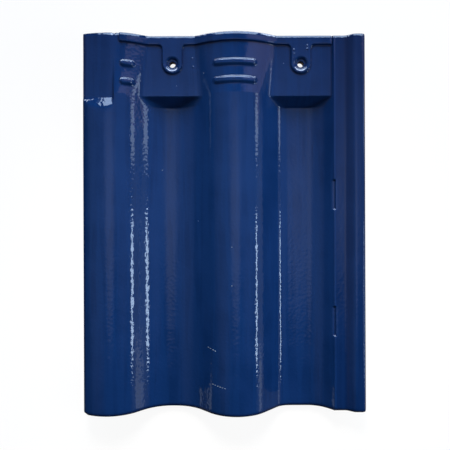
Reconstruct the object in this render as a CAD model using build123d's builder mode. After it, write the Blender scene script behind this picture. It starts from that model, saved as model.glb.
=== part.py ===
"""Glazed ceramic interlocking roof tile with two rolls and two pans, fired in one piece.

Millimetres. X runs across the tile, Y runs up the slope with the head edge at +Y, and Z is up.
The tile lies flat: the undersides of its pans and its two hanging nibs touch Z = 0.
Heights named "rise" are measured from the top surface of the pans.
"""
import os
from math import asin, cos, degrees, hypot, radians, tan

from build123d import *

# Overall size and wall
length = 404.0
width = 300.0
wall = 9.0

# Rolls and pans, as the tail end shows them
side_roll_from_left = 24.7
side_roll_rise = 30.8
side_crown_radius = 43.0
main_roll_rise = 33.0
main_crown_radius = 41.0
flank_angle = 45.0
trough_flat = 2.0
pan_toe_radius = 20.0

# Side lock: the flange on the right runs under the left roll of the next tile
side_lap = 25.4
flange_width = 32.5
flange_rise = 15.4
flange_toe_radius = 28.0
flange_edge_radius = 2.0
flange_head_toe_radius = 1.0
toe_share = 0.85
lip_rise = 21.0
lip_width = 11.5
lip_slope_run = 8.0
lip_radius = 6.0
lock_clearance = 1.0
lock_play = 4.0

# Two shallow notches in the flange's inner edge, each with its distance from the head and length
notches = ((171.2, 31.5), (307.2, 31.5))
notch_drop = 1.8
notch_set_back = 1.3
notch_end_radius = 1.5

# Head: raised pans behind a sloping step, with both rolls necked down under the next course
head_pan_rise = 13.0
head_toe_radius = 9.0
step_top_from_head = 64.5
step_run = 9.5
step_wall_shift = 4.5
main_head_rise = 26.2
side_head_rise = 26.0
head_crown_radius = 76.0
head_flank_angle = 28.0

# Strips that stand on the head: edge rib, tongues around the nail holes and bars on the rolls
strip_height = 2.4
rib_width = 9.5
rib_start_past_side_roll = 14.3
rib_end_before_flange = 2.0
tongue_width = 21.5
tongue_corner_radius = 4.0
bar_width = 5.8
bar_centres_from_head = (32.2, 51.4)
main_bar_length = 45.0
main_bar_offset = -1.0
side_bar_length = 13.4
side_bar_offset = 22.6

# Nail holes
nail_from_head = 30.0
left_nail_offset = 0.45
right_nail_offset = 0.1
nail_hole_diameter = 6.8
nail_dish_diameter = 15.5
nail_dish_depth = 2.6

# Recess that lets the next tile's corner lie over the left roll at the head
recess_past_side_roll = 9.8
recess_rise = 26.4
recess_crown_radius = 142.0
recess_from_head = 68.7
recess_ramp = 13.0
recess_run_out = 1.0

# Nibs that hook over the roof batten
nib_width = 24.0
nib_thickness = 12.0
nib_from_head = 4.0
nib_root = 14.0
nib_edge_radius = 2.0

# Plan outline
corner_radius = 5.0

# Overrun of cutting shapes past the tile, a height clear above it and a hair for picking corners
margin = 12.0
clear_height = 60.0
tolerance = 0.01

cover_width = width - side_lap
roll_pitch = cover_width / 2
side_roll_x = side_roll_from_left - width / 2
main_roll_x = side_roll_x + roll_pitch
flange_wall_x = width / 2 - flange_width
flange_foot_x = flange_wall_x - flange_rise
lip_full_x = width / 2 - lip_width
lip_start_x = lip_full_x - lip_slope_run
recess_right_x = side_roll_x + recess_past_side_roll
rib_left_x = side_roll_x + rib_start_past_side_roll
rib_right_x = flange_wall_x - rib_end_before_flange
head_y = length / 2
tail_y = -length / 2
step_top_y = head_y - step_top_from_head
step_foot_y = step_top_y - step_run
recess_end_y = head_y - recess_from_head
nail_y = head_y - nail_from_head
nib_back_y = head_y - nib_from_head
nib_hook_y = nib_back_y - nib_thickness


def roll_corners(centre, rise, radius, angle, floor):
    """Left foot, peak and right foot of the straight flanks that a roll's crown rounds off."""
    slope = radians(angle)
    peak = rise + radius * (1 / cos(slope) - 1)
    reach = (peak - floor) / tan(slope)
    return (centre - reach, floor), (centre, peak), (centre + reach, floor)


def toe_radius(gap, flat):
    """Radius of the two equal toes that leave the given flat between two facing flanks."""
    return (gap - flat) / 2 / tan(radians(flank_angle / 2))


def lowered(corners, drop):
    """The corners of the same outline, moved down square to its straight stretches."""
    points = [Vector(x, rise) for x, rise in corners]
    normals = []
    for start, end in zip(points, points[1:]):
        along = (end - start).normalized()
        normals.append(Vector(along.Y, -along.X))
    moved = []
    for point, before, after in zip(points, [normals[0], *normals], [*normals, normals[-1]]):
        moved.append(point + (before + after) * (drop / (1 + before.dot(after))))
    return [(point.X, point.Y) for point in moved]


def cross_section(y, form, drop=0.0):
    """Face under the top surface at station y, or under the bottom surface when drop is the wall."""
    floor, side, main, angle, trough_toe, pan_toe, flange_toe = form
    _, side_peak, side_foot = roll_corners(side_roll_x, *side, angle, floor)
    main_left, main_peak, main_right = roll_corners(main_roll_x, *main, angle, floor)
    left_end_x = -width / 2 - margin
    left_end_rise = side_peak[1] - (side_peak[0] - left_end_x) * tan(radians(angle))
    corners = lowered([
        (left_end_x, left_end_rise),
        side_peak,
        side_foot,
        main_left,
        main_peak,
        main_right,
        (flange_foot_x + floor, floor),
        (flange_wall_x, flange_rise),
        (lip_start_x, flange_rise),
        (lip_full_x, lip_rise),
        (width / 2 + margin, lip_rise),
    ], drop)
    if drop:
        flange_edge, lip_edge = 0.0, 0.0
    else:
        flange_edge, lip_edge = flange_edge_radius, lip_radius
    flange_flank = hypot(flange_rise - floor, flange_rise - floor)
    toe_room = toe_share * flange_flank / tan(radians(flank_angle / 2))
    radii = [side[1] - drop, trough_toe + drop, trough_toe + drop, main[1] - drop, pan_toe + drop,
             min(flange_toe + drop, toe_room), flange_edge, lip_radius + drop, lip_edge]
    with BuildSketch(Plane.XZ.offset(-y)) as face:
        with BuildLine():
            line = FilletPolyline(*[(x, rise + wall) for x, rise in corners], radius=radii)
            start, end = line @ 0, line @ 1
            Polyline(start, (start.X, -margin), (end.X, -margin), end)
        make_face()
    return face.sketch


side_roll = (side_roll_rise, side_crown_radius)
main_roll = (main_roll_rise, main_crown_radius)
side_foot_x = roll_corners(side_roll_x, *side_roll, flank_angle, 0.0)[2][0]
main_left_x, _, main_right_x = [
    x for x, _ in roll_corners(main_roll_x, *main_roll, flank_angle, 0.0)]
trough_radius = toe_radius(main_left_x - side_foot_x, trough_flat)
left_nail_x = (side_roll_x + main_roll_x) / 2 + left_nail_offset
right_nail_x = (main_right_x + flange_foot_x) / 2 + right_nail_offset
nail_spots = [(left_nail_x, nail_y), (right_nail_x, nail_y)]


def tile_envelope(drop, shift):
    """Solid under the top surface, or under the bottom surface when drop is the wall."""
    low = (0.0, side_roll, main_roll, flank_angle,
           trough_radius, pan_toe_radius, flange_toe_radius)
    raised = (head_pan_rise, side_roll, main_roll, flank_angle,
              head_toe_radius, head_toe_radius, flange_head_toe_radius)
    necked = (head_pan_rise, (side_head_rise, head_crown_radius),
              (main_head_rise, head_crown_radius), head_flank_angle,
              head_toe_radius, head_toe_radius, flange_head_toe_radius)
    foot_y = step_foot_y + shift
    top_y = step_top_y + shift
    with BuildPart() as solid:
        add(cross_section(tail_y, low, drop))
        extrude(amount=foot_y - tail_y, dir=(0, 1, 0))
        loft([cross_section(foot_y, low, drop), cross_section(top_y, raised, drop)], ruled=True)
        loft([cross_section(top_y, raised, drop), cross_section(head_y, necked, drop)], ruled=True)
    return solid.part


def recess_section(y, rise):
    """Face above the recess floor, whose crown stands at the given rise, at station y."""
    left_x = -width / 2 - margin
    sweep = degrees(asin((recess_right_x - left_x) / recess_crown_radius))
    with BuildSketch(Plane.XZ.offset(-y)) as face:
        with BuildLine():
            centre = (recess_right_x, rise + wall - recess_crown_radius)
            floor_line = CenterArc(centre, recess_crown_radius, 90, sweep)
            right_end, left_end = floor_line @ 0, floor_line @ 1
            Polyline(left_end, (left_x, clear_height), (recess_right_x, clear_height), right_end)
        make_face()
    return face.sketch


# Strips on the head, cut from the top surface raised by their height
with BuildPart() as strips:
    with Locations((0, 0, strip_height)):
        add(tile_envelope(0.0, 0.0))
    with BuildSketch() as strip_plan:
        with Locations(((rib_left_x + rib_right_x) / 2, head_y - rib_width / 2)):
            Rectangle(rib_right_x - rib_left_x, rib_width)
        with Locations(*nail_spots):
            Circle(tongue_width / 2)
        for x, _ in nail_spots:
            with Locations((x, (head_y - rib_width / 2 + nail_y) / 2)):
                Rectangle(tongue_width, head_y - rib_width / 2 - nail_y)
        rib_corners = strip_plan.vertices().filter_by_position(
            Axis.Y, head_y - rib_width - tolerance, head_y - rib_width + tolerance)
        fillet(rib_corners.sort_by(Axis.X)[1:-1], tongue_corner_radius)
        for from_head in bar_centres_from_head:
            with Locations((main_roll_x + main_bar_offset, head_y - from_head)):
                SlotOverall(main_bar_length, bar_width)
            with Locations((side_roll_x + side_bar_offset, head_y - from_head)):
                SlotOverall(side_bar_length, bar_width)
    extrude(amount=clear_height, mode=Mode.INTERSECT)

# Recess over the left roll at the head, with a ramp up to the full roll
with BuildPart() as recess:
    add(recess_section(head_y + margin, recess_rise))
    extrude(amount=recess_from_head + margin, dir=(0, -1, 0))
    loft([recess_section(recess_end_y, recess_rise),
          recess_section(recess_end_y - recess_ramp, side_roll_rise + recess_run_out)], ruled=True)

# Rebate under the left roll, a clear copy of the flange that lies in it
with BuildPart() as rebate:
    with BuildSketch(Plane.XZ.offset(-tail_y)):
        with BuildLine():
            lift = wall + lock_clearance
            lip_right_x = width / 2 - cover_width + lock_play
            Polyline((-width / 2 - margin, -margin),
                     (-width / 2 - margin, flange_rise + lift),
                     (lip_start_x - cover_width, flange_rise + lift),
                     (lip_full_x - cover_width, lip_rise + lift),
                     (lip_right_x, lip_rise + lift),
                     (lip_right_x, -margin),
                     close=True)
        make_face()
    extrude(amount=length, dir=(0, 1, 0))

# Notches in the flange's inner edge
with BuildPart() as notch_cut:
    with BuildSketch(Plane.XY.offset(wall + flange_rise - notch_drop)):
        for from_head, notch_length in notches:
            with Locations((flange_wall_x + notch_set_back - flange_rise / 2, head_y - from_head)):
                RectangleRounded(flange_rise, notch_length, notch_end_radius)
    extrude(amount=clear_height)

# Nibs: the hooking face is square to the batten, and the back face leans
with BuildPart() as nibs:
    for nail_x, _ in nail_spots:
        with BuildSketch(Plane.YZ.offset(nail_x - nib_width / 2)):
            with BuildLine():
                Polyline((nib_hook_y, 0), (nib_back_y - nib_edge_radius, 0), (nib_back_y, nib_root),
                         (nib_hook_y, nib_root), close=True)
            make_face()
        extrude(amount=nib_width)
    fillet(nibs.edges().filter_by(Axis.X).group_by(Axis.Z)[0], nib_edge_radius)

# The tile
with BuildPart() as roof_tile:
    add(tile_envelope(0.0, 0.0))
    add(strips.part)
    add(tile_envelope(wall, step_wall_shift), mode=Mode.SUBTRACT)
    add(recess.part, mode=Mode.SUBTRACT)
    add(rebate.part, mode=Mode.SUBTRACT)
    add(notch_cut.part, mode=Mode.SUBTRACT)
    with BuildSketch(Plane.XY.offset(-margin)) as plan:
        Rectangle(width, length)
        fillet(plan.vertices().group_by(Axis.X)[0].sort_by(Axis.Y)[0], corner_radius)
    extrude(amount=clear_height + margin, mode=Mode.INTERSECT)
    add(nibs.part)
    with Locations(*[(x, y, wall + head_pan_rise + strip_height) for x, y in nail_spots]):
        CounterBoreHole(nail_hole_diameter / 2, nail_dish_diameter / 2, nail_dish_depth)

roof_tile.part.label = "roof_tile"
os.makedirs("parts", exist_ok=True)
export_step(roof_tile.part, "parts/roof_tile.step")
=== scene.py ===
"""Looks of the glazed roof tile: one fired piece, glazed deep blue above and bare underneath.

Sizes are in millimetres in the tile's own frame, and become metres where the mesh is made.
The tile lies flat with its head edge at +Y and its side-lock flange at +X. Heights named "rise"
are measured from the top surface of the pans.
"""
import math

import bpy
import numpy as np
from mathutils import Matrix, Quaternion, Vector


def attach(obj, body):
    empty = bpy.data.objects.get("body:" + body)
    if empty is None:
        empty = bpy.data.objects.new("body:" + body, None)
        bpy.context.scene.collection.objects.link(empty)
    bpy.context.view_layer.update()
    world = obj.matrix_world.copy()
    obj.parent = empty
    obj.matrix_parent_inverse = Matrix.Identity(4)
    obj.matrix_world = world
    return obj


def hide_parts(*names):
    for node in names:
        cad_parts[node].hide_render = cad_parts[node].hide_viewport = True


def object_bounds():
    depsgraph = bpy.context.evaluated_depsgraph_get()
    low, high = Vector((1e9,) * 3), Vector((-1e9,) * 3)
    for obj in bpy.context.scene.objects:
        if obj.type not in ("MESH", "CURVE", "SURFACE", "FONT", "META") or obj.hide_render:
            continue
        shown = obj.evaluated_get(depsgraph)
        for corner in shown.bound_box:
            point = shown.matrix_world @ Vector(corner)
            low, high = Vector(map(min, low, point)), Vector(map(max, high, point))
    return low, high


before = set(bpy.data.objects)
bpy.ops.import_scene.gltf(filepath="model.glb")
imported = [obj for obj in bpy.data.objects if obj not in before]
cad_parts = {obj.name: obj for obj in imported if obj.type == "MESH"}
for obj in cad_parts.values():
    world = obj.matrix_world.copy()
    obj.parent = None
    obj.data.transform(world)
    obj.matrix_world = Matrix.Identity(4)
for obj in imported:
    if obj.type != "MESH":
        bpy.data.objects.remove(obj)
cad_low, cad_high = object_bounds()
MM = 0.001

# Overall size from the frame, and the wall
width = (cad_high[0] - cad_low[0]) / MM
length = (cad_high[1] - cad_low[1]) / MM
wall = 9.0
corner_radius = 5.0

# Rolls, pans and side-lock flange
side_roll_from_left = 24.7
side_roll_rise = 30.8
side_crown_radius = 43.0
main_roll_rise = 33.0
main_crown_radius = 41.0
flank_angle = 45.0
trough_flat = 2.0
pan_toe_radius = 20.0
side_lap = 25.4
flange_width = 32.5
flange_rise = 15.4
flange_toe_radius = 28.0
flange_edge_radius = 3.4
flange_head_toe_radius = 1.0
toe_share = 0.85
lip_rise = 21.0
lip_width = 11.5
lip_slope_run = 8.0
lip_radius = 6.0
lock_clearance = 1.0
lock_play = 4.0
notches = ((171.2, 31.5), (307.2, 31.5))
notch_drop = 1.8
notch_set_back = 1.3

# Head with its step, strips, nail holes and recess
head_pan_rise = 13.0
head_toe_radius = 9.0
step_top_from_head = 64.5
step_run = 9.5
step_wall_shift = 4.5
main_head_rise = 26.2
side_head_rise = 26.0
head_crown_radius = 76.0
head_flank_angle = 28.0
strip_height = 2.4
rib_width = 9.5
rib_start_past_side_roll = 14.3
rib_end_before_flange = 2.0
tongue_width = 21.5
tongue_blend = 6.0
bar_width = 5.8
bar_centres_from_head = (32.2, 51.4)
main_bar_length = 45.0
main_bar_offset = -1.0
side_bar_length = 13.4
side_bar_offset = 22.6
nail_from_head = 30.0
left_nail_offset = 0.45
right_nail_offset = 0.1
nail_hole_radius = 3.4
nail_dish_depth = 2.6
recess_past_side_roll = 9.8
recess_rise = 26.4
recess_crown_radius = 142.0
recess_from_head = 68.7
recess_ramp = 13.0
recess_run_out = 1.0

# Nibs under the head
nib_width = 24.0
nib_thickness = 12.0
nib_from_head = 4.0
nib_root = 14.0
nib_draft = 1.0

# How far glaze and pressing round the edges
glaze_spread = 0.45
# Painted shade on the flange: how much darker its glaze colour is made, and how far it fades in from
# the flange wall
flange_painted_shade = 0.38
flange_painted_shade_fade = 3.0
pooling_reach = 2.2
strip_edge = 0.8
bar_tail_edge = 3.6
strip_inset = 0.2
bar_lean = 0.6
bar_facet_width = 1.6
bar_facet_slope = 0.445
dish_lip = 8.2
dish_lip_slope = 0.53
dish_lip_foot = 6.7
dish_floor = 5.5
notch_edge = 1.1
bead_height = 0.7
bead_reach = 1.4
bead_left_of_wall = 0.1
recess_edge = 1.4
rim_radius_head = 0.4
head_notch_x = -116.8
head_notch_depth = 1.4
head_notch_reach = 2.4
head_notch_edge = 0.8
head_bevel_width = 3.0
head_bevel_slope = 0.27
# Painted shade along the edges: a dark band inside the outline, wider on the left, and a band fading in
# from the tail edge
rim_shade_width = 1.5
left_rim_more_shade = 1.5
tail_shade_width = 6.5
rim_radius_right = 4.2
rim_radius_left = 1.0
rim_radius_tail = 4.0
foot_radius = 0.7
hole_edge_radius = 0.6

# Small drops of glaze by the nail holes: place, radius and height
glaze_drops = (
    (74.6, 186.6, 1.3, 0.66), (75.0, 182.4, 1.1, 0.56), (89.0, 187.4, 1.5, 0.76),
    (89.0, 191.0, 1.3, 0.66), (-34.6, 178.4, 1.2, 0.60), (-33.8, 169.2, 1.3, 0.66),
    (73.2, 178.0, 0.9, 0.44), (93.0, 176.0, 0.9, 0.44),
)

# Pale specks, and dashed scuffs with painted glints along them: start, end, and pitch of the dashes
pale_specks_and_glint_dashes = (
    (-18.9, -130.9, -9.4, -134.4, 2.7), (-14.0, -169.2, 1.0, -172.1, 2.6),
    (6.6, -24.5, 7.3, -24.5, 9.0), (6.7, -64.7, 7.2, -64.6, 9.0), (-29.4, 2.9, -28.8, 3.1, 9.0),
    (-69.1, 59.4, -68.6, 59.1, 9.0), (-52.0, 148.6, -51.4, 148.8, 9.0),
    (63.4, 172.8, 64.1, 172.6, 9.0), (-22.4, 160.8, -21.9, 161.2, 9.0),
)
mark_width = 0.7

# Faint ribs along the tile: pitch, start and height
press_ribs = ((31.0, 0.3, 0.05), (17.0, 1.9, 0.03), (9.3, 4.1, 0.014))

# Half of the square that each nail hole's round mesh fills
nail_patch = 9.2

# Where the soft boxes aim, and each one's name, place, size, lean, light and what it acts on
lamp_aim = (0.0, 0.0, 0.02)
soft_boxes = (
    ("right_box_low", (1.95, -0.36, 0.97), (0.80, 0.20), 0, (7.4, 9.9, 13.0), "both"),
    ("right_box_high", (1.95, 0.53, 0.86), (0.32, 0.42), 0, (1.9, 2.4, 3.0), "both"),
    ("head_box", (0.09, 2.0, 1.15), (2.26, 0.95), 0, (5.0, 6.6, 8.8), "both"),
    ("head_low", (0.1, 2.2, 0.62), (4.4, 0.56), 0, (11.0, 13.2, 16.8), "gloss"),
    ("left_low", (-2.2, 0.62, 0.22), (0.36, 0.2), 0, (0.35, 0.5, 0.8), "gloss"),
    ("left_tail", (-2.2, -1.0, 0.15), (0.26, 0.3), 0, (0.5, 0.6, 0.7), "gloss"),
    ("right_tail", (1.9, -0.84, 0.38), (0.42, 0.3), 0, (0.6, 0.7, 0.8), "gloss"),
    ("right_wall", (1.75, 1.14, 1.38), (0.58, 2.40), -34, (0.54, 0.43, 0.52), "both"),
    ("fill_right", (0.85, 0.0, 0.55), (0.4, 0.5), 0, (4.6, 4.6, 4.6), "colour"),
)

# Spot with a wide soft cone from the head side: place, where it aims, cone angle, radius and power
spot_place = (-0.05, 0.55, 0.65)
spot_aim = (-0.02, -0.15, 0.0)
spot_cone = 42.0
spot_radius = 0.10
spot_power = 32.5
spot_colour = (1.0, 0.93, 0.84)

# Light of the room overhead, and its soft patches: direction, angles where they end, and light
room_light = (0.015, 0.018, 0.022)
room_glows = (
    ((0.0, 0.02, 1.0), 0, 17, (0.27, 0.27, 0.27)),
    ((0.0, 0.13, 1.0), 10, 25, (0.21, 0.21, 0.21)),
    ((0.8, 0.20, 1.0), 8, 30, (0.15, 0.15, 0.16)),
    ((-0.8, 0.15, 1.0), 10, 36, (0.13, 0.13, 0.13)),
    ((1.0, -0.1, 0.15), 6, 28, (0.28, 0.32, 0.36)),
)

# How white the floor and the backdrop show in the glaze, near the tile and far from it
floor_in_gloss_near = 0.04
floor_in_gloss_far = 0.005

# Camera over the tile, and the floor
camera_lens = 38.35
camera_sensor = 36.0
camera_place = (0.0, -0.0014, 0.539)
camera_turn = -0.2
floor_size = 30

cover_width = width - side_lap
side_roll_x = side_roll_from_left - width / 2
main_roll_x = side_roll_x + cover_width / 2
flange_wall_x = width / 2 - flange_width
flange_foot_x = flange_wall_x - flange_rise
lip_full_x = width / 2 - lip_width
lip_start_x = lip_full_x - lip_slope_run
head_y = length / 2
tail_y = -length / 2
step_top_y = head_y - step_top_from_head
step_foot_y = step_top_y - step_run
recess_right_x = side_roll_x + recess_past_side_roll
recess_end_y = head_y - recess_from_head
rib_left_x = side_roll_x + rib_start_past_side_roll
rib_right_x = flange_wall_x - rib_end_before_flange
rib_tail_y = head_y - rib_width
nail_y = head_y - nail_from_head
nib_back_y = head_y - nib_from_head
nib_hook_y = nib_back_y - nib_thickness


def roll_corners(centre, rise, radius, angle, floor):
    """Left foot, peak and right foot of the straight flanks that a roll's crown rounds off."""
    slope = math.radians(angle)
    peak = rise + radius * (1 / math.cos(slope) - 1)
    reach = (peak - floor) / math.tan(slope)
    return (centre - reach, floor), (centre, peak), (centre + reach, floor)


side_foot_x = roll_corners(side_roll_x, side_roll_rise, side_crown_radius, flank_angle, 0)[2][0]
main_left_x, _, main_right_x = [
    x for x, _ in roll_corners(main_roll_x, main_roll_rise, main_crown_radius, flank_angle, 0)]
half_turn = math.tan(math.radians(flank_angle / 2))
trough_radius = (main_left_x - side_foot_x - trough_flat) / 2 / half_turn
nails = [((side_roll_x + main_roll_x) / 2 + left_nail_offset, nail_y),
         ((main_right_x + flange_foot_x) / 2 + right_nail_offset, nail_y)]
bars = ((main_roll_x + main_bar_offset, main_bar_length),
        (side_roll_x + side_bar_offset, side_bar_length))


def lowered(corners, drop):
    """The corners of the same outline, moved down square to its straight stretches."""
    points = [np.array(corner, float) for corner in corners]
    normals = []
    for start, end in zip(points, points[1:]):
        along = (end - start) / np.linalg.norm(end - start)
        normals.append(np.array((along[1], -along[0])))
    moved = []
    for point, before, after in zip(points, [normals[0], *normals], [*normals, normals[-1]]):
        moved.append(point + (before + after) * drop / (1 + before @ after))
    return moved


def station(floor, side, main, angle, toes, drop):
    """Corners and corner radii of the section at one station, as arrays."""
    trough_toe, pan_toe, flange_toe = toes
    _, side_peak, side_foot = roll_corners(side_roll_x, *side, angle, floor)
    main_left, main_peak, main_right = roll_corners(main_roll_x, *main, angle, floor)
    past = width / 2 + 12
    left_rise = side_peak[1] - (side_peak[0] + past) * math.tan(math.radians(angle))
    corners = lowered([
        (-past, left_rise), side_peak, side_foot, main_left, main_peak, main_right,
        (flange_foot_x + floor, floor), (flange_wall_x, flange_rise),
        (lip_start_x, flange_rise), (lip_full_x, lip_rise), (past, lip_rise),
    ], drop)
    flange_edge, lip_edge = (0.0, 0.0) if drop else (flange_edge_radius, lip_radius)
    toe_room = toe_share * math.sqrt(2) * (flange_rise - floor) / half_turn
    radii = [side[1] - drop, trough_toe + drop, trough_toe + drop, main[1] - drop,
             pan_toe + drop, min(flange_toe + drop, toe_room), flange_edge, lip_radius + drop,
             lip_edge]
    return np.array(corners), np.array(radii)


def stations(drop):
    """The three sections that the tile runs through: low, raised above the step, and necked."""
    side = (side_roll_rise, side_crown_radius)
    main = (main_roll_rise, main_crown_radius)
    head_toes = (head_toe_radius, head_toe_radius, flange_head_toe_radius)
    low = station(0.0, side, main, flank_angle,
                  (trough_radius, pan_toe_radius, flange_toe_radius), drop)
    raised = station(head_pan_rise, side, main, flank_angle, head_toes, drop)
    necked = station(head_pan_rise, (side_head_rise, head_crown_radius),
                     (main_head_rise, head_crown_radius), head_flank_angle, head_toes, drop)
    return low, raised, necked


face_stations = stations(0.0)
under_stations = stations(wall)


def section_height(x, y, sections, shift):
    """Height at each point of the surface that runs through the three sections."""
    knots = (step_foot_y + shift, step_top_y + shift, head_y)

    def between(pick):
        return np.interp(y, knots, [pick(*section) for section in sections])

    count = len(sections[0][0])
    cx = [between(lambda corners, radii: corners[k][0]) for k in range(count)]
    cz = [between(lambda corners, radii: corners[k][1]) for k in range(count)]
    height = cz[0]
    for k in range(count - 1):
        run = cz[k] + (x - cx[k]) * (cz[k + 1] - cz[k]) / (cx[k + 1] - cx[k])
        height = np.where(x >= cx[k], run, height)
    for k in range(1, count - 1):
        radius = between(lambda corners, radii: radii[k - 1])
        before = np.arctan2(cz[k] - cz[k - 1], cx[k] - cx[k - 1])
        after = np.arctan2(cz[k + 1] - cz[k], cx[k + 1] - cx[k])
        side = np.sign(after - before)
        reach = radius * np.tan(np.abs(after - before) / 2)
        start = cx[k] - reach * np.cos(before)
        end = cx[k] + reach * np.cos(after)
        middle_x = start - side * radius * np.sin(before)
        middle_z = cz[k] - reach * np.sin(before) + side * radius * np.cos(before)
        arc = middle_z - side * np.sqrt(np.maximum(radius ** 2 - (x - middle_x) ** 2, 0))
        height = np.where((x > start) & (x < end), arc, height)
    return height + wall


def ease(t):
    """Smooth step from 0 to 1 as t goes from 0 to 1."""
    t = np.clip(t, 0, 1)
    return t * t * (3 - 2 * t)


def inside(distance, edge):
    """1 inside an outline and 0 outside it, with an edge of that width on the outline."""
    return ease(0.5 - distance / edge)


def box_distance(x, y, x0, x1, y0, y1):
    """Signed distance to a rectangle in plan."""
    dx = np.maximum(x0 - x, x - x1)
    dy = np.maximum(y0 - y, y - y1)
    return np.hypot(np.maximum(dx, 0), np.maximum(dy, 0)) + np.minimum(np.maximum(dx, dy), 0)


def rib_distance(x, y):
    """Signed distance to the head rib and the tongues round the nail holes."""
    rib = box_distance(x, y, rib_left_x, rib_right_x, rib_tail_y, head_y + rib_width)
    for nail_x, _ in nails:
        tongue = np.hypot(x - nail_x, np.minimum(y - nail_y, 0)) - tongue_width / 2
        near = np.maximum(tongue_blend - np.abs(rib - tongue), 0) / tongue_blend
        rib = np.minimum(rib, tongue) - near ** 2 * tongue_blend / 4
    return rib


def strip_height_at(x, y):
    """Height of the strips over the face, with the slanted head side of the bars."""
    height = strip_height * inside(rib_distance(x, y) + strip_inset, strip_edge)
    for from_head in bar_centres_from_head:
        bar_y = head_y - from_head
        head_side = bar_width / 2 + bar_lean
        slanted = (y - bar_y - head_side + bar_facet_width) * bar_facet_slope
        across = (y - bar_y) * np.where(y > bar_y, bar_width / 2 / head_side, 1.0)
        for bar_x, bar_length in bars:
            past_end = np.maximum(np.abs(x - bar_x) - (bar_length - bar_width) / 2, 0)
            bar = np.hypot(past_end, across) - bar_width / 2
            share = inside(bar + strip_inset, np.where(y > bar_y, strip_edge, bar_tail_edge))
            height = np.maximum(height, share * (strip_height - np.maximum(slanted, 0)))
    return height


def recess_height(x, y):
    """Floor of the recess over the left roll at the head, and its ramp towards the tail."""
    ramp = np.clip((recess_end_y - y) / recess_ramp, 0, 1)
    rise = recess_rise + ramp * (side_roll_rise + recess_run_out - recess_rise)
    side = np.clip(recess_right_x - x, 0, recess_crown_radius)
    fall = recess_crown_radius - np.sqrt(recess_crown_radius ** 2 - side ** 2)
    past_ramp = np.maximum(recess_end_y - recess_ramp - y, 0)
    return rise - fall + wall + past_ramp


def plain_face(x, y):
    """Height of the glazed face without the nail dishes, before the glaze rounds it."""
    height = section_height(x, y, face_stations, 0.0)
    height = height + strip_height_at(x, y)
    from_bead = np.abs(x - flange_wall_x + bead_left_of_wall) / bead_reach
    height = height + bead_height * ease(1 - from_bead)
    cut = np.minimum(height, recess_height(x, y))
    height = height + (cut - height) * inside(x - recess_right_x + recess_edge / 2, recess_edge)
    for from_head, notch_length in notches:
        y0 = head_y - from_head - notch_length / 2
        hollow = box_distance(x, y, flange_foot_x, flange_wall_x + notch_set_back,
                              y0, y0 + notch_length)
        floor = np.minimum(height, wall + flange_rise - notch_drop)
        height = height + (floor - height) * inside(hollow, notch_edge)
    return height


def dished(height, x, y):
    """The same height with the dishes round the nail holes sunk into it."""
    for nail_x, nail_at_y in nails:
        reach = np.hypot(x - nail_x, y - nail_at_y)
        lip_fall = (dish_lip - np.clip(reach, dish_lip_foot, dish_lip)) * dish_lip_slope
        deepest = nail_dish_depth - (dish_lip - dish_lip_foot) * dish_lip_slope
        fall = lip_fall + deepest * ease((dish_lip_foot - reach) / (dish_lip_foot - dish_floor))
        floor = wall + head_pan_rise + strip_height - fall
        height = np.where(reach < dish_lip, np.minimum(height, floor), height)
    return height


def spread(height, x, y, reach):
    """Mean of a height function over a small disc, which rounds its edges as glaze does."""
    total = 2 * height(x, y)
    weight = 2.0
    for ring, share in ((0.5, 1.0), (1.0, 0.5)):
        for turn in np.arange(0, 2 * np.pi, np.pi / 6):
            total = total + share * height(x + reach * ring * np.cos(turn),
                                           y + reach * ring * np.sin(turn))
            weight += share
    return total / weight


def ripple(x, y):
    """Faint ribs along the tile, left by the press."""
    bend = 1.5 * np.sin(y / 47.0) + 0.8 * np.sin(y / 19.0 + 2)
    return sum(size * np.sin(2 * np.pi * (x + bend * 0.3) / pitch + start)
               for pitch, start, size in press_ribs)


def face_height(x, y):
    """Height of the glazed face, down to the rim of each nail hole."""
    height = dished(spread(plain_face, x, y, glaze_spread), x, y) + ripple(x, y)
    for drop_x, drop_y, drop_radius, drop_height in glaze_drops:
        away = np.hypot(x - drop_x, y - drop_y) / drop_radius
        height = height + drop_height * np.clip(1 - away, 0, 1)
    for nail_x, nail_at_y in nails:
        reach = np.hypot(x - nail_x, y - nail_at_y)
        past = np.clip(nail_hole_radius + hole_edge_radius - reach, 0, hole_edge_radius)
        height = height - (hole_edge_radius - np.sqrt(hole_edge_radius ** 2 - past ** 2))
    return height


def under_height(x, y):
    """Height of the bare underside, with the side-lock rebate and the nibs."""
    height = section_height(x, y, under_stations, step_wall_shift)
    lift = wall + lock_clearance
    slope = (lip_rise - flange_rise) / lip_slope_run
    rebate = np.clip(flange_rise + (x - lip_start_x + cover_width) * slope, flange_rise, lip_rise)
    rebate_end = width / 2 - cover_width + lock_play
    height = np.where(x < rebate_end, np.maximum(height, rebate + lift), height)
    for nail_x, _ in nails:
        out = box_distance(x, y, nail_x - nib_width / 2, nail_x + nib_width / 2,
                           nib_hook_y, nib_back_y)
        nib = nib_root * np.clip(out / nib_draft, 0, 1) ** 0.5
        height = np.where(out < nib_draft, np.minimum(height, nib), height)
    return height


def outline_distance(x, y):
    """Distance inwards from the tile's outline, before its tail-left corner is rounded."""
    return np.minimum(width / 2 - np.abs(x), length / 2 - np.abs(y))


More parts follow.
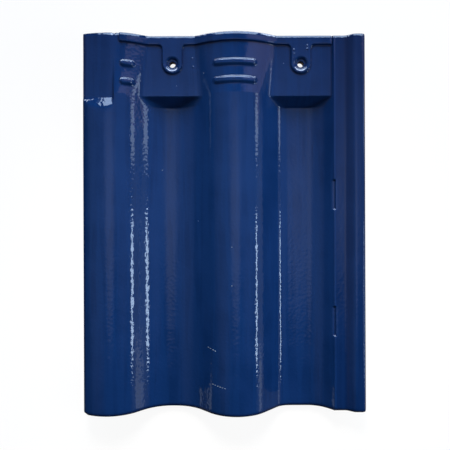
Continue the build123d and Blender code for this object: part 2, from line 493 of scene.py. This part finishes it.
def rim_fall(x, y):
    """How far the glazed face falls back along the tile's edges."""
    bevel = np.maximum(head_bevel_width - (length / 2 - y), 0) * head_bevel_slope
    notch = head_notch_depth * ease((head_notch_reach - np.abs(x - head_notch_x)) / head_notch_edge)
    notch = notch * ease((y - length / 2 + head_notch_reach) / head_notch_edge)
    return (rounded(width / 2 - x, rim_radius_right) + rounded(width / 2 + x, rim_radius_left)
            + rounded(length / 2 + y, rim_radius_tail) + bevel + notch
            + rounded(length / 2 - y, rim_radius_head))


def rounded(distance, radius):
    """How far a rounded edge falls back at that distance inside the outline."""
    short = np.clip(radius - distance, 0, radius)
    return radius - np.sqrt(radius ** 2 - short ** 2)


def graded(breaks, coarse, spots):
    """Line positions that pass through the breaks, coarse far from the spots and fine near them."""
    lines = [breaks[0]]
    for start, end in zip(breaks, breaks[1:]):
        steps = [start]
        while steps[-1] < end:
            here = steps[-1]
            step = min([coarse] + [fine + 0.33 * abs(here - at) for at, fine in spots])
            steps.append(here + step)
        steps = np.array(steps)
        steps = start + (steps - start) * (end - start) / (steps[-1] - start)
        lines.extend(steps[1:])
    return np.array(lines)


def plan_lines():
    """X and Y positions of the mesh lines."""
    nail_breaks = [at + side for at, _ in nails for side in (-nail_patch, nail_patch)]
    x_spots = [(-width / 2, 0.2), (width / 2, 0.2), (recess_right_x, 0.4), (rib_left_x, 0.6),
               (flange_wall_x, 0.45), (flange_wall_x + notch_set_back, 0.4),
               (lip_start_x, 1.1), (lip_full_x, 1.1)]
    x_spots += [(drop_x, 0.45) for drop_x, _, _, _ in glaze_drops]
    for nail_x, _ in nails:
        x_spots += [(nail_x - tongue_width / 2, 0.4), (nail_x + tongue_width / 2, 0.4),
                    (nail_x, 0.9)]
    for bar_x, bar_length in bars:
        x_spots += [(bar_x - bar_length / 2, 0.7), (bar_x + bar_length / 2, 0.7)]
    x_lines = graded(sorted([-width / 2, width / 2, -width / 2 + corner_radius,
                             width / 2 - lock_play] + nail_breaks), 1.45, x_spots)
    y_spots = [(tail_y, 0.2), (head_y, 0.2), (rib_tail_y, 0.4), (step_top_y, 0.5),
               (step_foot_y, 0.8), (recess_end_y, 0.6), (nib_hook_y, 0.6), (nib_back_y, 0.6),
               (nail_y - tongue_width / 2, 0.5), (nail_y, 0.8)]
    y_spots += [(drop_y, 0.35) for _, drop_y, _, _ in glaze_drops]
    for from_head in bar_centres_from_head:
        y_spots += [(head_y - from_head - bar_width / 2, 0.4),
                    (head_y - from_head + bar_width / 2, 0.4)]
    for from_head, notch_length in notches:
        y_spots += [(head_y - from_head - notch_length / 2, 0.45),
                    (head_y - from_head + notch_length / 2, 0.45)]
    y_lines = graded([tail_y, tail_y + corner_radius, step_foot_y - recess_ramp,
                      nail_y - nail_patch, nail_y + nail_patch, head_y], 6.0, y_spots)
    return x_lines, y_lines


class TileMesh:
    """Collects points with their share of glaze, and faces, for the one tile mesh."""

    def __init__(self):
        self.points, self.glazed, self.faces, self.count = [], [], [], 0

    def add(self, x, y, z, glazed):
        """Adds points and returns their numbers in the same layout."""
        x, y, z, glazed = np.broadcast_arrays(x, y, z, glazed)
        self.points.append(np.stack([x.ravel(), y.ravel(), z.ravel()], axis=1))
        self.glazed.append(glazed.ravel())
        numbers = np.arange(self.count, self.count + x.size).reshape(x.shape)
        self.count += x.size
        return numbers

    def quads(self, grid, closed=False, flip=False):
        """Faces between neighbouring rows and columns of a grid of point numbers."""
        if closed:
            grid = np.concatenate([grid, grid[:1]], axis=0)
        a, b, c, d = grid[:-1, :-1], grid[1:, :-1], grid[1:, 1:], grid[:-1, 1:]
        corners = (a, d, c, b) if flip else (a, b, c, d)
        self.faces.extend(np.stack([corner.ravel() for corner in corners], axis=1).tolist())


def loop_of(grid):
    """Point numbers round the border of a grid, counter-clockwise from above."""
    return np.concatenate([grid[:-1, 0], grid[-1, :-1], grid[:0:-1, -1], grid[0, :0:-1]])


def round_corner(x, y):
    """Moves points of the square tail-left corner onto its rounding."""
    centre_x, centre_y = -width / 2 + corner_radius, tail_y + corner_radius
    out_x, out_y = np.maximum(centre_x - x, 0), np.maximum(centre_y - y, 0)
    away = np.hypot(out_x, out_y)
    pull = np.where(away > 0, np.maximum(out_x, out_y) / np.maximum(away, 1e-9), 1.0)
    return (np.where(out_x > 0, centre_x - out_x * pull, x),
            np.where(out_y > 0, centre_y - out_y * pull, y))


def nail_rings(border_x, border_y, nail_x):
    """Plan positions from the edge of a nail hole out to the square that surrounds it."""
    away = np.hypot(border_x - nail_x, border_y - nail_y)
    turn_x, turn_y = (border_x - nail_x) / away, (border_y - nail_y) / away
    first = nail_hole_radius
    round_radii = first + np.array([0.0, 0.1, 0.25, 0.45, 0.7, 1.2, 1.9, 2.6, 3.1, 3.5, 3.9,
                                    4.3, 4.7, 5.1])
    rings = [(nail_x + turn_x * radius, nail_y + turn_y * radius) for radius in round_radii]
    for share in (0.25, 0.5, 0.75):
        radius = round_radii[-1] + (away - round_radii[-1]) * share
        rings.append((nail_x + turn_x * radius, nail_y + turn_y * radius))
    return rings


def kept_lines(lines, spots, every):
    """Which lines the underside keeps: all of them near the spots, and one in a few elsewhere."""
    keep = np.zeros(len(lines), bool)
    keep[::every] = True
    keep[[0, -1]] = True
    for low, high in spots:
        keep |= (lines >= low - 1e-6) & (lines <= high + 1e-6)
    return np.flatnonzero(keep)


def build_tile():
    """One closed mesh of the tile, with its glazed share as a point attribute."""
    mesh = TileMesh()
    x_lines, y_lines = plan_lines()
    grid_x, grid_y = np.meshgrid(x_lines, y_lines, indexing="ij")
    edge = outline_distance(grid_x, grid_y)
    plan_x, plan_y = round_corner(grid_x, grid_y)
    top_z = face_height(plan_x, plan_y) - rim_fall(grid_x, grid_y)
    low_z = under_height(plan_x, plan_y) + rounded(edge, foot_radius)
    top = mesh.add(plan_x, plan_y, top_z, 1.0)
    low = mesh.add(plan_x, plan_y, low_z, 0.0)

    holes = []
    for nail_x, _ in nails:
        i0, i1 = (int(np.argmin(np.abs(x_lines - nail_x - side))) for side in (-nail_patch, nail_patch))
        j0, j1 = (int(np.argmin(np.abs(y_lines - nail_y - side))) for side in (-nail_patch, nail_patch))
        holes.append((i0, i1, j0, j1))

    filled = np.ones((len(x_lines) - 1, len(y_lines) - 1), bool)
    for i0, i1, j0, j1 in holes:
        filled[i0:i1, j0:j1] = False
    for i, j in zip(*np.nonzero(filled)):
        mesh.faces.append([int(n) for n in (top[i, j], top[i + 1, j], top[i + 1, j + 1],
                                            top[i, j + 1])])
    add_underside(mesh, low, filled, x_lines, y_lines, holes)

    for (nail_x, _), (i0, i1, j0, j1) in zip(nails, holes):
        rings = {}
        for name, grid, height, flip in (("top", top, face_height, True),
                                         ("low", low, under_height, False)):
            border = loop_of(grid[i0:i1 + 1, j0:j1 + 1])
            at = loop_of(np.arange(grid.size).reshape(grid.shape)[i0:i1 + 1, j0:j1 + 1])
            places = nail_rings(plan_x.ravel()[at], plan_y.ravel()[at], nail_x)
            glazed = 1.0 if name == "top" else 0.0
            rows = [mesh.add(x, y, height(x, y), glazed) for x, y in places]
            mesh.quads(np.stack(rows + [border], axis=1), closed=True, flip=flip)
            rings[name] = rows[0]
        points = np.concatenate(mesh.points)
        bore = [rings["top"]]
        for share, glazed in ((0.12, 0.9), (0.3, 0.45), (0.6, 0.1), (0.9, 0.0)):
            place = points[rings["top"]] * (1 - share) + points[rings["low"]] * share
            bore.append(mesh.add(place[:, 0], place[:, 1], place[:, 2], glazed))
        mesh.quads(np.stack(bore + [rings["low"]], axis=1), closed=True)

    points = np.concatenate(mesh.points)
    rim_top, rim_low = loop_of(top), loop_of(low)
    rim = [rim_top]
    for share, glazed in ((0.08, 1.0), (0.3, 0.9), (0.55, 0.7), (0.8, 0.45), (0.95, 0.25)):
        place = points[rim_top] * (1 - share) + points[rim_low] * share
        rim.append(mesh.add(place[:, 0], place[:, 1], place[:, 2], glazed))
    mesh.quads(np.stack(rim + [rim_low], axis=1), closed=True, flip=True)
    return mesh


def add_underside(mesh, low, filled, x_lines, y_lines, holes):
    """Faces of the underside on fewer lines, with every border point kept."""
    x_spots = [(x_lines[i0], x_lines[i1]) for i0, i1, _, _ in holes]
    x_spots += [(-width / 2, -width / 2 + 1), (width / 2 - 1, width / 2)]
    x_spots += [(at + side - 1.5, at + side + 1.5) for at, _ in nails
                for side in (-nib_width / 2, nib_width / 2)]
    y_spots = [(nail_y - nail_patch, nail_y + nail_patch), (tail_y, tail_y + 1),
               (head_y - 1, head_y), (nib_hook_y - 1.5, nib_hook_y + 1.5),
               (nib_back_y - 1.5, nib_back_y + 1.5)]
    keep_x = kept_lines(x_lines, x_spots, 2)
    keep_y = kept_lines(y_lines, y_spots, 2)
    last_x, last_y = len(x_lines) - 1, len(y_lines) - 1
    for i0, i1 in zip(keep_x, keep_x[1:]):
        for j0, j1 in zip(keep_y, keep_y[1:]):
            if not filled[i0, j0]:
                continue
            south = low[i0:i1 + 1, j0] if j0 == 0 else low[[i0, i1], j0]
            north = low[i0:i1 + 1, j1] if j1 == last_y else low[[i0, i1], j1]
            west = low[i0, j0:j1 + 1] if i0 == 0 else low[i0, [j0, j1]]
            east = low[i1, j0:j1 + 1] if i1 == last_x else low[i1, [j0, j1]]
            border = np.concatenate([west[:-1], north[:-1], east[:0:-1], south[:0:-1]])
            mesh.faces.append(border.tolist())


def pooling_and_painted_shade(x, y):
    """How much glaze gathers at a point: above 0 in hollows and below 0 on edges, plus painted shade
    that darkens the flange.
    """
    def height(x, y):
        return dished(plain_face(x, y), x, y)

    ring = sum(height(x + pooling_reach * np.cos(turn), y + pooling_reach * np.sin(turn))
               for turn in np.arange(0, 2 * np.pi, np.pi / 4)) / 8
    # Painted shade: a darker colour over the flange, fading in from the flange wall
    flange_shade = flange_painted_shade * ease((x - flange_wall_x) / flange_painted_shade_fade)
    return ring - height(x, y) + flange_shade


def make_tile(material):
    """The tile as a Blender object."""
    tile = build_tile()
    points = np.concatenate(tile.points)
    glazed = np.concatenate(tile.glazed)
    pooling_and_shade = np.clip(pooling_and_painted_shade(points[:, 0], points[:, 1]), -1, 1)
    # Painted shade: the rims and the tail edge take the dark colour of pooled glaze
    from_rim = np.minimum(outline_distance(points[:, 0], points[:, 1]),
                          width / 2 - left_rim_more_shade + points[:, 0])
    pooling_and_shade = np.where(from_rim < rim_shade_width, 1.0, pooling_and_shade)
    pooling_and_shade = np.maximum(pooling_and_shade, ease(1 - (points[:, 1] - tail_y) / tail_shade_width))
    used = np.zeros(len(points), bool)
    used[np.concatenate([np.array(face) for face in tile.faces])] = True
    renumber = np.cumsum(used) - 1
    faces = [renumber[face].tolist() for face in tile.faces]
    data = bpy.data.meshes.new("glazed_tile")
    data.from_pydata((points[used] * MM).tolist(), [], faces)
    for name, values in (("glaze_cover", glazed[used]), ("pooling_and_painted_shade", pooling_and_shade[used])):
        attribute = data.attributes.new(name, "FLOAT", "POINT")
        attribute.data.foreach_set("value", values.astype(np.float32))
    data.shade_smooth()
    data.set_sharp_from_angle(angle=math.radians(50))
    data.materials.append(material)
    obj = bpy.data.objects.new("glazed_tile", data)
    bpy.context.scene.collection.objects.link(obj)
    return obj


class Nodes:
    """Short calls that add linked nodes to a tree."""

    def __init__(self, tree):
        self.tree = tree

    def add(self, kind, inputs=None, **settings):
        """A node with its settings, and its inputs set to values or linked to sockets."""
        node = self.tree.nodes.new(kind)
        for name, value in settings.items():
            setattr(node, name, value)
        for name, value in (inputs or {}).items():
            socket = node.inputs[name]
            if isinstance(value, bpy.types.NodeSocket):
                self.tree.links.new(value, socket)
            else:
                socket.default_value = value
        return node

    def math(self, operation, *values):
        """Result socket of a Math node."""
        return self.add("ShaderNodeMath", dict(enumerate(values)), operation=operation).outputs[0]

    def remap(self, value, low, high, to_low, to_high):
        """Value carried smoothly from one range to another."""
        return self.add("ShaderNodeMapRange", {"Value": value, 1: low, 2: high, 3: to_low,
                                               4: to_high},
                        interpolation_type="SMOOTHSTEP").outputs[0]

    def mix(self, share, first, second):
        """Colour between two colours."""
        node = self.add("ShaderNodeMix", {0: share, 6: first, 7: second}, data_type="RGBA")
        return node.outputs[2]

    def noise(self, place, scale, detail=2.0, distortion=0.0):
        """Noise value from 0 to 1 at that many cells to the metre."""
        return self.add("ShaderNodeTexNoise", {"Vector": place, "Scale": scale, "Detail": detail,
                                               "Distortion": distortion}).outputs["Fac"]

    def seen_share(self, in_gloss):
        """1 for camera and transmission rays, and the given share for glossy rays."""
        paths = self.add("ShaderNodeLightPath").outputs
        direct = self.math("MAXIMUM", paths["Is Camera Ray"], paths["Is Transmission Ray"])
        return self.math("MAXIMUM", direct,
                         self.math("MULTIPLY", paths["Is Glossy Ray"], in_gloss))


def glaze_material():
    """Glossy deep blue glaze over a pale fired body, joined along an uneven glaze line."""
    material = bpy.data.materials.new("deep_blue_glaze_on_fired_clay")
    material.use_nodes = True
    tree = material.node_tree
    tree.nodes.clear()
    n = Nodes(tree)
    place = n.add("ShaderNodeTexCoord").outputs["Object"]
    cover = n.add("ShaderNodeAttribute", attribute_name="glaze_cover").outputs["Fac"]
    pooling_and_shade = n.add("ShaderNodeAttribute", attribute_name="pooling_and_painted_shade").outputs["Fac"]

    ragged = n.math("ADD", cover, n.math("MULTIPLY", n.math("SUBTRACT", n.noise(
        place, 90.0, 3.0), 0.5), 0.5))
    glazed = n.remap(ragged, 0.36, 0.46, 0.0, 1.0)

    along = n.add("ShaderNodeMapping", {"Vector": place, "Scale": (1.0, 0.05, 0.2)}).outputs[0]
    clouds = n.noise(place, 28.0, 3.0)
    runs = n.noise(along, 130.0, 4.0, 0.4)
    tone = n.mix(n.remap(clouds, 0.3, 0.7, 0.0, 1.0), (0.0026, 0.0200, 0.0870, 1),
                 (0.0044, 0.0250, 0.1040, 1))
    tone = n.mix(n.remap(runs, 0.46, 0.54, 0.0, 0.55), tone, (0.0044, 0.0275, 0.1130, 1))
    # Darker where glaze pools in hollows, and painted shade along the rims, the tail edge and the
    # flange
    tone = n.mix(n.remap(pooling_and_shade, 0.1, 0.6, 0.0, 0.55), tone, (0.0015, 0.0090, 0.0480, 1))
    glaze_colour = n.mix(n.remap(pooling_and_shade, -0.5, -0.15, 0.4, 0.0), tone,
                         (0.0150, 0.0600, 0.1900, 1))

    speck_and_glint_share = 0.0
    for x0, y0, x1, y1, pitch in pale_specks_and_glint_dashes:
        start = Vector((x0, y0, 0.0)) * MM
        reach = Vector((x1, y1, 0.0)) * MM - start
        unit = reach.normalized()
        offset = n.add("ShaderNodeVectorMath", {0: place, 1: start}, operation="SUBTRACT").outputs[0]
        run = n.add("ShaderNodeVectorMath", {0: offset, 1: unit}, operation="DOT_PRODUCT")
        run = run.outputs["Value"]
        square = Vector((-unit.y, unit.x, 0.0))
        aside = n.add("ShaderNodeVectorMath", {0: offset, 1: square}, operation="DOT_PRODUCT")
        aside = n.math("ABSOLUTE", aside.outputs["Value"])
        middle = n.math("ABSOLUTE", n.math("SUBTRACT", run, reach.length / 2))
        dash = n.math("GREATER_THAN", n.math("SINE", n.math(
            "MULTIPLY", run, 2 * math.pi / (pitch * MM))), 0.0)
        mark = n.math("MULTIPLY", dash, n.math("MULTIPLY", n.math(
            "LESS_THAN", aside, mark_width * MM / 2), n.math("LESS_THAN", middle,
                                                             reach.length / 2)))
        speck_and_glint_share = n.math("MAXIMUM", speck_and_glint_share, mark)
    # Pale specks, and painted glints along the dashed scuffs
    glaze_colour = n.mix(n.math("MULTIPLY", speck_and_glint_share, 0.8), glaze_colour, (0.30, 0.38, 0.48, 1))

    grit = n.noise(place, 900.0, 4.0)
    stain = n.noise(place, 22.0, 4.0)
    clay = n.mix(n.remap(stain, 0.3, 0.7, 0.0, 1.0), (0.56, 0.43, 0.31, 1), (0.47, 0.33, 0.23, 1))
    clay = n.mix(n.remap(grit, 0.45, 0.75, 0.0, 0.5), clay, (0.70, 0.60, 0.48, 1))
    colour = n.mix(glazed, clay, glaze_colour)

    peel = n.noise(place, 330.0, 0.0, 0.3)
    fine_peel = n.noise(place, 1100.0, 0.0)
    swell = n.noise(place, 90.0, 1.0)
    glaze_height = n.math("ADD", n.math("MULTIPLY", peel, 1.1), n.math(
        "ADD", n.math("MULTIPLY", fine_peel, 0.14), n.math("MULTIPLY", swell, 1.2)))
    clay_height = n.math("MULTIPLY", grit, 2.0)
    height = n.add("ShaderNodeMix", {0: glazed, 2: clay_height, 3: glaze_height}).outputs[0]
    bump = n.add("ShaderNodeBump", {"Height": height, "Strength": 1.0, "Distance": 0.0001})

    gloss = n.remap(n.noise(place, 60.0, 3.0), 0.3, 0.7, 0.04, 0.07)
    roughness = n.add("ShaderNodeMix", {0: glazed, 2: 0.85, 3: gloss}).outputs[0]
    shader = n.add("ShaderNodeBsdfPrincipled", {
        "Base Color": colour, "Roughness": roughness, "IOR": 1.5, "Normal": bump.outputs[0]})
    out = n.add("ShaderNodeOutputMaterial")
    tree.links.new(shader.outputs[0], out.inputs["Surface"])
    return material


def make_floor():
    """White floor that keeps a soft shadow of the tile."""
    material = bpy.data.materials.new("white_floor")
    material.use_nodes = True
    tree = material.node_tree
    tree.nodes.clear()
    n = Nodes(tree)
    place = n.add("ShaderNodeTexCoord").outputs["Object"]
    away = n.add("ShaderNodeVectorMath", {0: place}, operation="LENGTH").outputs["Value"]
    in_gloss = n.remap(away, 0.35, 1.3, floor_in_gloss_near, floor_in_gloss_far)
    seen = n.seen_share(in_gloss)
    paper = n.add("ShaderNodeBsdfDiffuse", {"Color": (0.1, 0.1, 0.1, 1)})
    glow = n.add("ShaderNodeEmission", {"Color": (0.92, 0.92, 0.92, 1), "Strength": seen})
    both = n.add("ShaderNodeAddShader")
    tree.links.new(paper.outputs[0], both.inputs[0])
    tree.links.new(glow.outputs[0], both.inputs[1])
    out = n.add("ShaderNodeOutputMaterial")
    tree.links.new(both.outputs[0], out.inputs["Surface"])
    bpy.ops.mesh.primitive_plane_add(size=floor_size, location=(0, 0, 0))
    floor = bpy.context.object
    floor.name = "floor"
    floor.data.materials.append(material)


def make_world():
    """Dim room above the tile, with a white backdrop round the floor."""
    world = bpy.data.worlds.new("room")
    bpy.context.scene.world = world
    world.use_nodes = True
    tree = world.node_tree
    tree.nodes.clear()
    n = Nodes(tree)
    direction = n.add("ShaderNodeTexCoord").outputs["Generated"]
    room = room_light
    for towards, inner, outer, light in room_glows:
        unit = Vector(towards).normalized()
        dot = n.add("ShaderNodeVectorMath", {0: direction, 1: unit}, operation="DOT_PRODUCT")
        share = n.remap(dot.outputs["Value"], math.cos(math.radians(outer)),
                        math.cos(math.radians(inner)), 0.0, 1.0)
        glow = n.add("ShaderNodeVectorMath", {0: light, "Scale": share}, operation="SCALE")
        room = n.add("ShaderNodeVectorMath", {0: room, 1: glow.outputs[0]},
                     operation="ADD").outputs[0]
    seen = n.seen_share(floor_in_gloss_far)
    background = n.add("ShaderNodeBackground", {"Color": n.mix(seen, room, (1, 1, 1, 1))})
    out = n.add("ShaderNodeOutputWorld")
    tree.links.new(background.outputs[0], out.inputs["Surface"])


def hang(lamp, place, aim, lean, acts_on):
    """Places a lamp, turns it to what it aims at, and sets which rays see it."""
    obj = bpy.data.objects.new(lamp.name, lamp)
    bpy.context.scene.collection.objects.link(obj)
    obj.location = place
    turn = Quaternion((0.0, 0.0, 1.0), math.radians(lean))
    towards = (Vector(aim) - Vector(place)).to_track_quat("-Z", "Y")
    obj.rotation_euler = (towards @ turn).to_euler()
    obj.visible_camera = False
    obj.visible_glossy = acts_on != "colour"
    obj.visible_diffuse = acts_on != "gloss"


def make_lights():
    """Soft boxes and a spot over the tile, hidden from the camera."""
    for name, place, size, lean, light, acts_on in soft_boxes:
        lamp = bpy.data.lights.new(name, "AREA")
        lamp.shape = "RECTANGLE"
        lamp.size, lamp.size_y = size
        lamp.energy = math.pi * size[0] * size[1] * max(light)
        lamp.color = [channel / max(light) for channel in light]
        hang(lamp, place, lamp_aim, lean, acts_on)
    spot = bpy.data.lights.new("spot", "SPOT")
    spot.spot_size = math.radians(spot_cone)
    spot.spot_blend = 1.0
    spot.shadow_soft_size = spot_radius
    spot.energy = spot_power
    spot.color = spot_colour
    hang(spot, spot_place, spot_aim, 0, "colour")


def make_camera():
    """Camera straight above the tile, as in the photograph."""
    camera = bpy.data.cameras.new("camera")
    camera.sensor_width = camera_sensor
    camera.lens = camera_lens
    obj = bpy.data.objects.new("camera", camera)
    bpy.context.scene.collection.objects.link(obj)
    obj.location = camera_place
    obj.rotation_euler = (0.0, 0.0, math.radians(camera_turn))
    bpy.context.scene.camera = obj


make_camera()
make_world()
make_lights()
make_floor()
glaze = glaze_material()
tile = make_tile(glaze)
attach(tile, "root")
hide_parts("roof_tile")
bpy.context.scene.view_settings.view_transform = "Standard"
